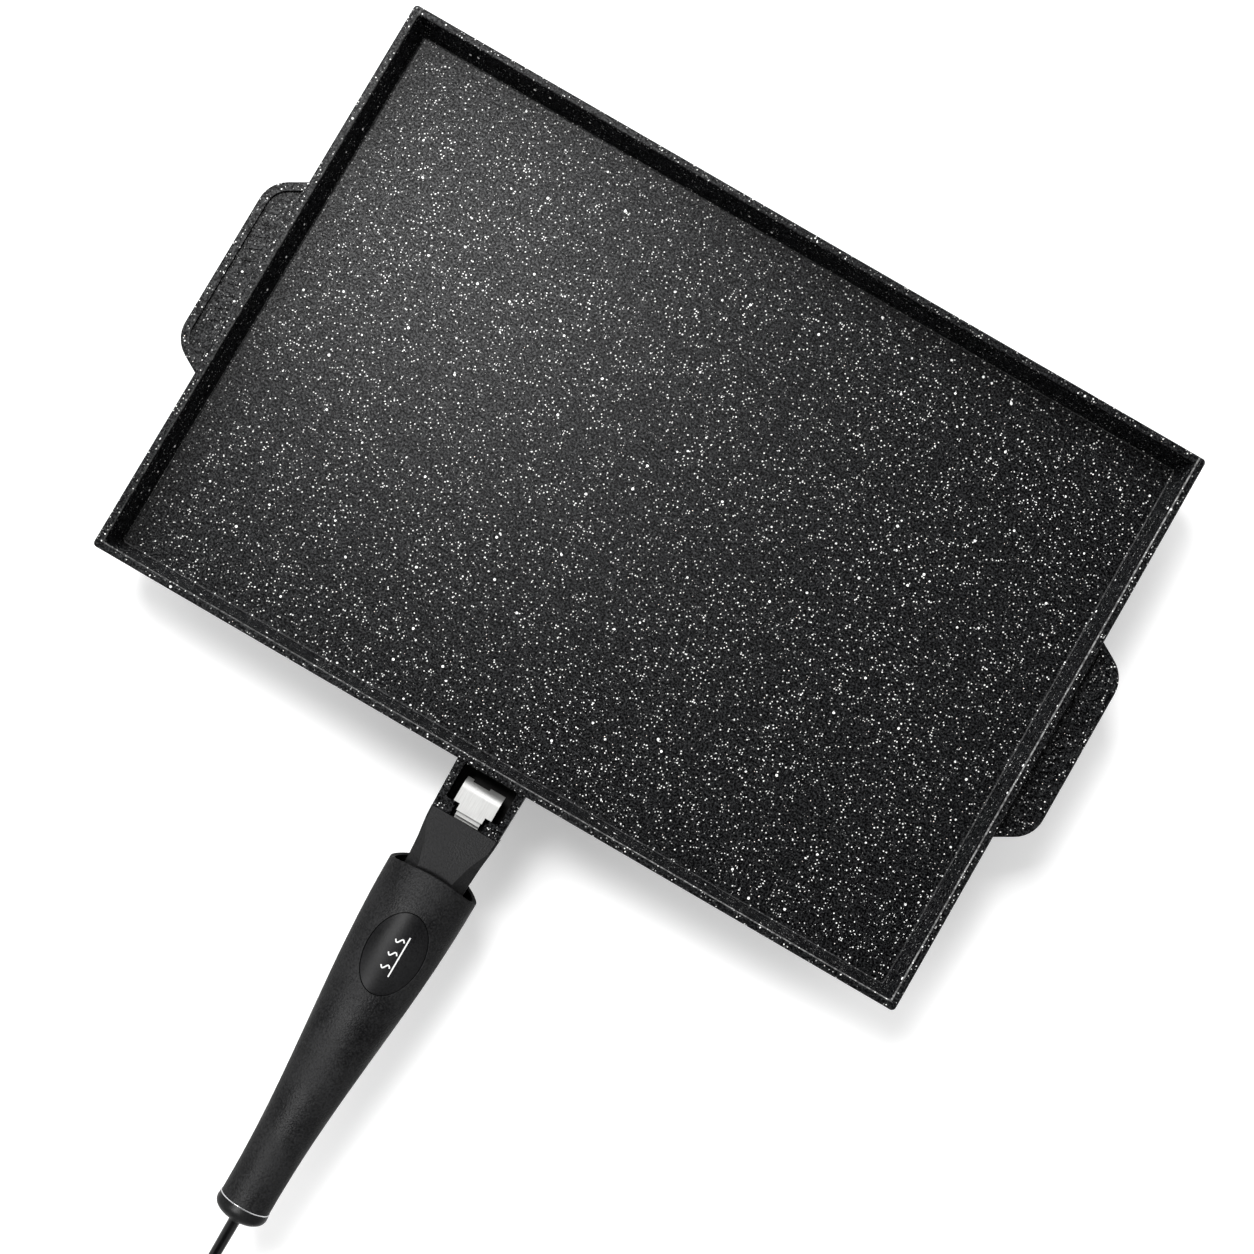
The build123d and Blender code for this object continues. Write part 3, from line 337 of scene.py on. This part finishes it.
# ---- Mains cord ----------------------------------------------------------------------------------
cord_diameter = 0.0048
grip_axis = 0.0365
relief_end = (0.0, -0.3862, grip_axis)
route = [
    relief_end,
    (0.0, -0.407, grip_axis),
    (0.001, -0.430, 0.028),
    (0.004, -0.451, 0.0135),
    (0.013, -0.468, 0.0036),
    (0.035, -0.480, 0.0025),
    (0.063, -0.474, 0.0026),
]
tail = [
    (0.110, -0.4744, 0.0096),
    (0.127, -0.4770, 0.0122),
    (0.143, -0.4812, 0.0122),
]
# Each turn keeps its own ring and layer, and moves over to the next one in its last quarter
coil_centre = (0.092, -0.438)
coil_mean = 5.5 * cord_diameter
coil_low = 0.0033
turns = 6
per_turn = 16
crossover = 0.25
layer_order = [(1, 0), (0, 0), (-1, 0), (-1, 1), (0, 1), (1, 1), (2, 1)]
# The spline runs inside its control points by this share of the radius
smoothing = (6 + 2 * math.cos(2 * math.pi / per_turn)) / 8
coil_points = []
for step in range(turns * per_turn + 1):
    turn, phase = divmod(step, per_turn)
    share = max(0.0, (phase - (1 - crossover) * per_turn) / (crossover * per_turn))
    (ring, layer), (next_ring, next_layer) = layer_order[turn], layer_order[min(turn + 1, turns)]
    lift = (1 - math.cos(math.pi * share)) / 2
    # Where the cord climbs to the upper layer it goes round the turn below
    bulge = 0.00176 * math.sin(math.pi * share) if layer != next_layer else 0.0
    radius = coil_mean + (ring + (next_ring - ring) * share) * cord_diameter - bulge
    height = coil_low + (layer + (next_layer - layer) * lift) * cord_diameter
    angle = 2 * math.pi * step / per_turn - math.pi / 2
    coil_points.append((coil_centre[0] + radius / smoothing * math.cos(angle),
                        coil_centre[1] + radius / smoothing * math.sin(angle), height))
cord_points = route + coil_points + tail

cord_curve = bpy.data.curves.new("mains_lead", "CURVE")
cord_curve.dimensions = "3D"
cord_curve.bevel_depth = cord_diameter / 2
cord_curve.bevel_resolution = 8
cord_curve.resolution_u = 8
spline = cord_curve.splines.new("NURBS")
spline.points.add(len(cord_points) - 1)
for point, place in zip(spline.points, cord_points):
    point.co = (*place, 1.0)
spline.order_u = 3
spline.use_endpoint_u = True
cord_curve.use_fill_caps = True
mains_lead = bpy.data.objects.new("mains_lead", cord_curve)
scene.collection.objects.link(mains_lead)
cord_curve.materials.append(cord_black)
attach(mains_lead, "control_handle")
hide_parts("mains_cord", "cord_coil")


# ---- Mark on the button --------------------------------------------------------------------------
def ribbon(name, lines, width, node_name, body, look):
    """Thin printed strokes laid on a CAD surface from above."""
    lift, ink_thickness, above_all = 0.00003, 0.00004, 0.5
    surface = BVHTree.FromPolygons([v.co.copy() for v in nodes[node_name].data.vertices],
                                   [tuple(p.vertices) for p in nodes[node_name].data.polygons])
    mesh = bmesh.new()
    for line in lines:
        pairs = []
        for i, (x, y) in enumerate(line):
            x0, y0 = line[max(i - 1, 0)]
            x1, y1 = line[min(i + 1, len(line) - 1)]
            way = Vector((x1 - x0, y1 - y0, 0)).normalized()
            across = Vector((-way.y, way.x, 0)) * width / 2
            pair = []
            for side in (-1, 1):
                at = Vector((x, y, above_all)) + across * side
                hit = surface.ray_cast(at, Vector((0, 0, -1)))[0]
                pair.append(mesh.verts.new((at.x, at.y, hit.z + lift)))
            pairs.append(pair)
        for (a, b), (c, d) in zip(pairs, pairs[1:]):
            mesh.faces.new((a, b, d, c))
    bmesh.ops.recalc_face_normals(mesh, faces=mesh.faces)
    data = bpy.data.meshes.new(name)
    mesh.to_mesh(data)
    mesh.free()
    made = bpy.data.objects.new(name, data)
    scene.collection.objects.link(made)
    data.materials.append(look)
    solid = made.modifiers.new("thickness", "SOLIDIFY")
    solid.thickness = ink_thickness
    solid.offset = -1.0
    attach(made, body)
    return made


print_white = textured("print_white", (0.74, 0.74, 0.73), (0.86, 0.86, 0.85), 1800.0, 0.5, 0.00001)
# A heating sign: a bar with three short waves beside it
mark_x, mark_y = 0.0024, -0.2293
stroke = 0.00062
bar_x, bar_half = mark_x + 0.0024, 0.0098
wave_x, wave_length, wave_height, wave_pitch = mark_x + 0.0012, 0.0042, 0.0011, 0.0064
along_stroke = [i / 24 for i in range(25)]
mark_lines = [[(bar_x, mark_y - bar_half + 2 * bar_half * t) for t in along_stroke]]
for centre in (mark_y - wave_pitch, mark_y, mark_y + wave_pitch):
    mark_lines.append([(wave_x - wave_length * t, centre + wave_height * math.sin(2 * math.pi * t))
                       for t in along_stroke])
ribbon("button_mark", mark_lines, stroke, "power_button", "button", print_white)


# ---- Springs -------------------------------------------------------------------------------------
def shorten(name):
    """Gives a coil spring a mesh of its own; its length is not changed here."""
    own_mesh(nodes[name])


shorten("collar_spring_left")
shorten("collar_spring_right")
shorten("button_spring")


# ---- Floor, light --------------------------------------------------------------------------------
floor_half, floor_drop = 4.0, 0.0002
floor_mesh = bpy.data.meshes.new("studio_floor")
floor_mesh.from_pydata([(x * floor_half, y * floor_half, 0) for x, y in ((-1, -1), (1, -1), (1, 1), (-1, 1))],
                       [], [(0, 1, 2, 3)])
floor = bpy.data.objects.new("studio_floor", floor_mesh)
floor.location = (0, 0, -floor_drop)
scene.collection.objects.link(floor)
pale, pale_tree, pale_shader, pale_place = start("studio_pale", specular=0.1, roughness=0.9)
pale_tone = noise(pale_tree, pale_place, 3.0, 2.0)
pale_tree.links.new(mix_colour(pale_tree, pale_tone, (0.90, 0.90, 0.90), (0.93, 0.93, 0.93)),
                    pale_shader.inputs["Base Color"])
pale_shader.inputs["Emission Color"].default_value = (1.0, 1.0, 1.0, 1.0)
pale_shader.inputs["Emission Strength"].default_value = 0.25
floor_mesh.materials.append(pale)


def area_light(name, place, aim, size, power):
    data = bpy.data.lights.new(name, "AREA")
    data.shape = "RECTANGLE"
    data.size, data.size_y = size
    data.energy = power
    made = bpy.data.objects.new(name, data)
    scene.collection.objects.link(made)
    made.location = place
    made.rotation_euler = (Vector(place) - Vector(aim)).to_track_quat("Z", "Y").to_euler()
    return made


def light_only(light, name, pieces):
    """Keep a light to the pieces given."""
    lit = bpy.data.collections.new(name)
    for piece in pieces:
        lit.objects.link(piece)
    light.light_linking.receiver_collection = lit


# The key lights everything but the pan, which has a lower, wider light of its own from the same side
pan = nodes["griddle_pan"]
key = area_light("key", (-0.75, 0.61, 1.78), (0, -0.05, 0), (0.8, 0.8), 38.0)
light_only(key, "key_lit", [made for made in scene.objects if made.type in ("MESH", "CURVE") and made != pan])
pan_key = area_light("pan_key", (-1.35, 1.0, 1.35), (0, 0, floor_height), (1.4, 1.4), 172.0)
light_only(pan_key, "pan_lit", [pan])
pan_key.visible_glossy = False
# The coating's sheen comes from a small, high light, so that its level faces don't mirror the wide one
sheen = area_light("sheen", (-0.29, 0.19, 0.8), (0, 0, floor_height), (0.2, 0.2), 5.9)
light_only(sheen, "sheen_lit", [pan])
sheen.visible_diffuse = False
# A strip over the handle that gives its satin plastic one long highlight
strip = area_light("handle_strip", (-0.40, -0.60, 1.5), (0, -0.28, grip_axis), (0.36, 0.7), 84.0)
light_only(strip, "handle_lit", [nodes[name] for name in ("grip_sleeve", "power_button", "end_cap",
                                                          "lock_collar")])

world = bpy.data.worlds.new("studio")
scene.world = world
world.use_nodes = True
background = world.node_tree.nodes["Background"]
background.inputs["Color"].default_value = (1.0, 1.0, 1.0, 1.0)
# A bright surround with a dark ceiling above the object, dimmer on the shadow side
sky = node(world.node_tree, "TexCoord").outputs["Generated"]
height = node(world.node_tree, "SeparateXYZ", {0: sky}).outputs[2]
shadow_side = (0.52, -0.85, 0.0)
across = node(world.node_tree, "VectorMath", {0: sky, 1: shadow_side},
              operation="DOT_PRODUCT").outputs["Value"]
surround = ramp(world.node_tree, height, 0.60, 0.88, 1.62, 0.03)
glow = product(world.node_tree, surround, ramp(world.node_tree, across, -0.3, 0.7, 1.0, 0.70))
world.node_tree.links.new(glow, background.inputs["Strength"])
scene.view_settings.view_transform = "Standard"
scene.view_settings.look = "None"
scene.view_settings.exposure = 0.0
